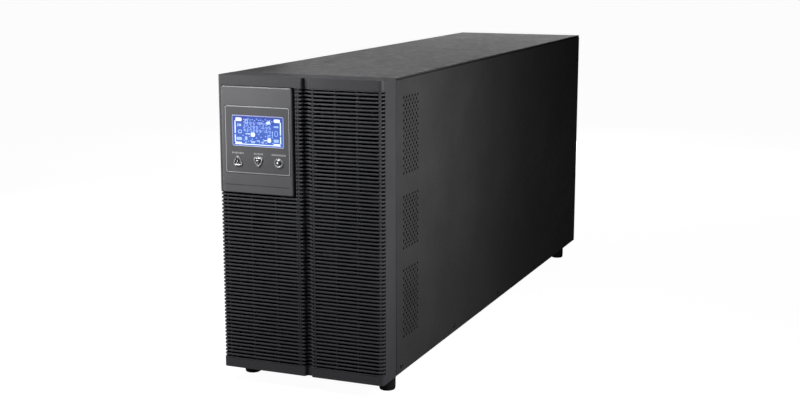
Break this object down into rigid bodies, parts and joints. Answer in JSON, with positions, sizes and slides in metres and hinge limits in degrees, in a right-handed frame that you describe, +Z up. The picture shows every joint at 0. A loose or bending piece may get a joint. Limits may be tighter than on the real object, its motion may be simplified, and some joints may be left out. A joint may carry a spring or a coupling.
{
  "type": "uninterruptible power supply",
  "caption": "Tower uninterruptible power supply with a louvred bezel, backlit display and press buttons, vented steel case on feet, rear fans and cable entries.",
  "frame": {"origin": "centre of the unit's footprint, on the surface that the feet stand on", "axes": "+X to the right seen from the front, +Y from the front bezel to the rear, +Z up"},
  "size_m": [0.1922, 0.809, 0.337],
  "materials": {
    "bezel_plastic": "fine moulded texture, charcoal",
    "panel_plastic": "satin metallic grey paint",
    "label_film": "satin printed film with a silver outline",
    "lcd_glass": "clear window",
    "lcd_screen": "blue backlit display",
    "button_metal": "satin plated ring round a dark centre",
    "painted_steel": "fine gritty powder coat, charcoal black",
    "bare_steel": "zinc plated sheet",
    "foot_rubber": "matte moulded rubber",
    "screw_steel": "black zinc",
    "fan_plastic": "glass filled black plastic",
    "guard_wire": "bright plated wire",
    "breaker_plastic": "moulded thermoset",
    "lever_plastic": "smooth black",
    "terminal_plastic": "moulded black plastic",
    "gland_nylon": "black nylon",
    "port_metal": "nickel plated shell",
    "green_plastic": "green connector plastic",
    "battery_case": "dark battery case plastic",
    "circuit_board": "solder mask green",
    "heat_sink_aluminium": "extruded, clear anodised",
    "copper_winding": "enamelled copper wire",
    "capacitor_sleeve": "shrink sleeve"
  },
  "bodies": {
    "case": {"front_bezel": "bezel_plastic", "left_grille": "bezel_plastic", "right_grille": "bezel_plastic", "display_housing": "panel_plastic", "control_label": "label_film", "lcd_window": "lcd_glass", "lcd_module": "lcd_screen", "display_board": "circuit_board", "base_chassis": "painted_steel", "front_bulkhead": "bare_steel", "rear_panel": "painted_steel", "top_cover": "painted_steel", "left_side_panel": "painted_steel", "right_side_panel": "painted_steel", "foot_front_left": "foot_rubber", "foot_front_right": "foot_rubber", "foot_rear_left": "foot_rubber", "foot_rear_right": "foot_rubber", "left_screw_1": "screw_steel", "left_screw_2": "screw_steel", "left_screw_3": "screw_steel", "left_screw_4": "screw_steel", "left_screw_5": "screw_steel", "right_screw_1": "screw_steel", "right_screw_2": "screw_steel", "right_screw_3": "screw_steel", "right_screw_4": "screw_steel", "right_screw_5": "screw_steel", "fan_frame_left": "fan_plastic", "fan_guard_left": "guard_wire", "fan_frame_right": "fan_plastic", "fan_guard_right": "guard_wire", "input_breaker": "breaker_plastic", "terminal_block": "terminal_plastic", "terminal_cover": "painted_steel", "cable_gland_input": "gland_nylon", "cable_gland_output": "gland_nylon", "usb_port": "port_metal", "serial_port": "port_metal", "epo_connector": "green_plastic", "option_slot_cover": "painted_steel", "battery_connector": "terminal_plastic", "battery_pack_lower_front": "battery_case", "battery_pack_lower_rear": "battery_case", "battery_pack_upper_front": "battery_case", "battery_pack_upper_rear": "battery_case", "battery_shelf": "bare_steel", "power_board": "circuit_board", "heat_sink_left": "heat_sink_aluminium", "heat_sink_right": "heat_sink_aluminium", "boost_inductor": "copper_winding", "bus_capacitor_left": "capacitor_sleeve", "bus_capacitor_right": "capacitor_sleeve", "control_board": "circuit_board"},
    "up_button": {"up_button": "button_metal"},
    "down_button": {"down_button": "button_metal"},
    "enter_button": {"enter_button": "button_metal"},
    "fan_rotor_left": {"fan_rotor_left": "fan_plastic"},
    "fan_rotor_right": {"fan_rotor_right": "fan_plastic"},
    "breaker_lever": {"breaker_lever": "lever_plastic"}
  },
  "joints": [
    {"name": "up_button_press", "type": "slide", "parent": "case", "child": "up_button", "axis": [0, 1, 0], "range_m": [0, 0.001], "stiffness_N_per_m": 800, "springref_m": -0.0003},
    {"name": "down_button_press", "type": "slide", "parent": "case", "child": "down_button", "axis": [0, 1, 0], "range_m": [0, 0.001], "stiffness_N_per_m": 800, "springref_m": -0.0003},
    {"name": "enter_button_press", "type": "slide", "parent": "case", "child": "enter_button", "axis": [0, 1, 0], "range_m": [0, 0.001], "stiffness_N_per_m": 800, "springref_m": -0.0003},
    {"name": "fan_spin_left", "type": "hinge", "parent": "case", "child": "fan_rotor_left", "pos_m": [-0.043, 0.3497, 0.279], "axis": [0, 1, 0], "continuous": true},
    {"name": "fan_spin_right", "type": "hinge", "parent": "case", "child": "fan_rotor_right", "pos_m": [0.043, 0.3497, 0.279], "axis": [0, 1, 0], "continuous": true},
    {"name": "breaker_throw", "type": "hinge", "parent": "case", "child": "breaker_lever", "pos_m": [-0.062, 0.3645, 0.179], "axis": [1, 0, 0], "range_deg": [-40, 0]}
  ]
}
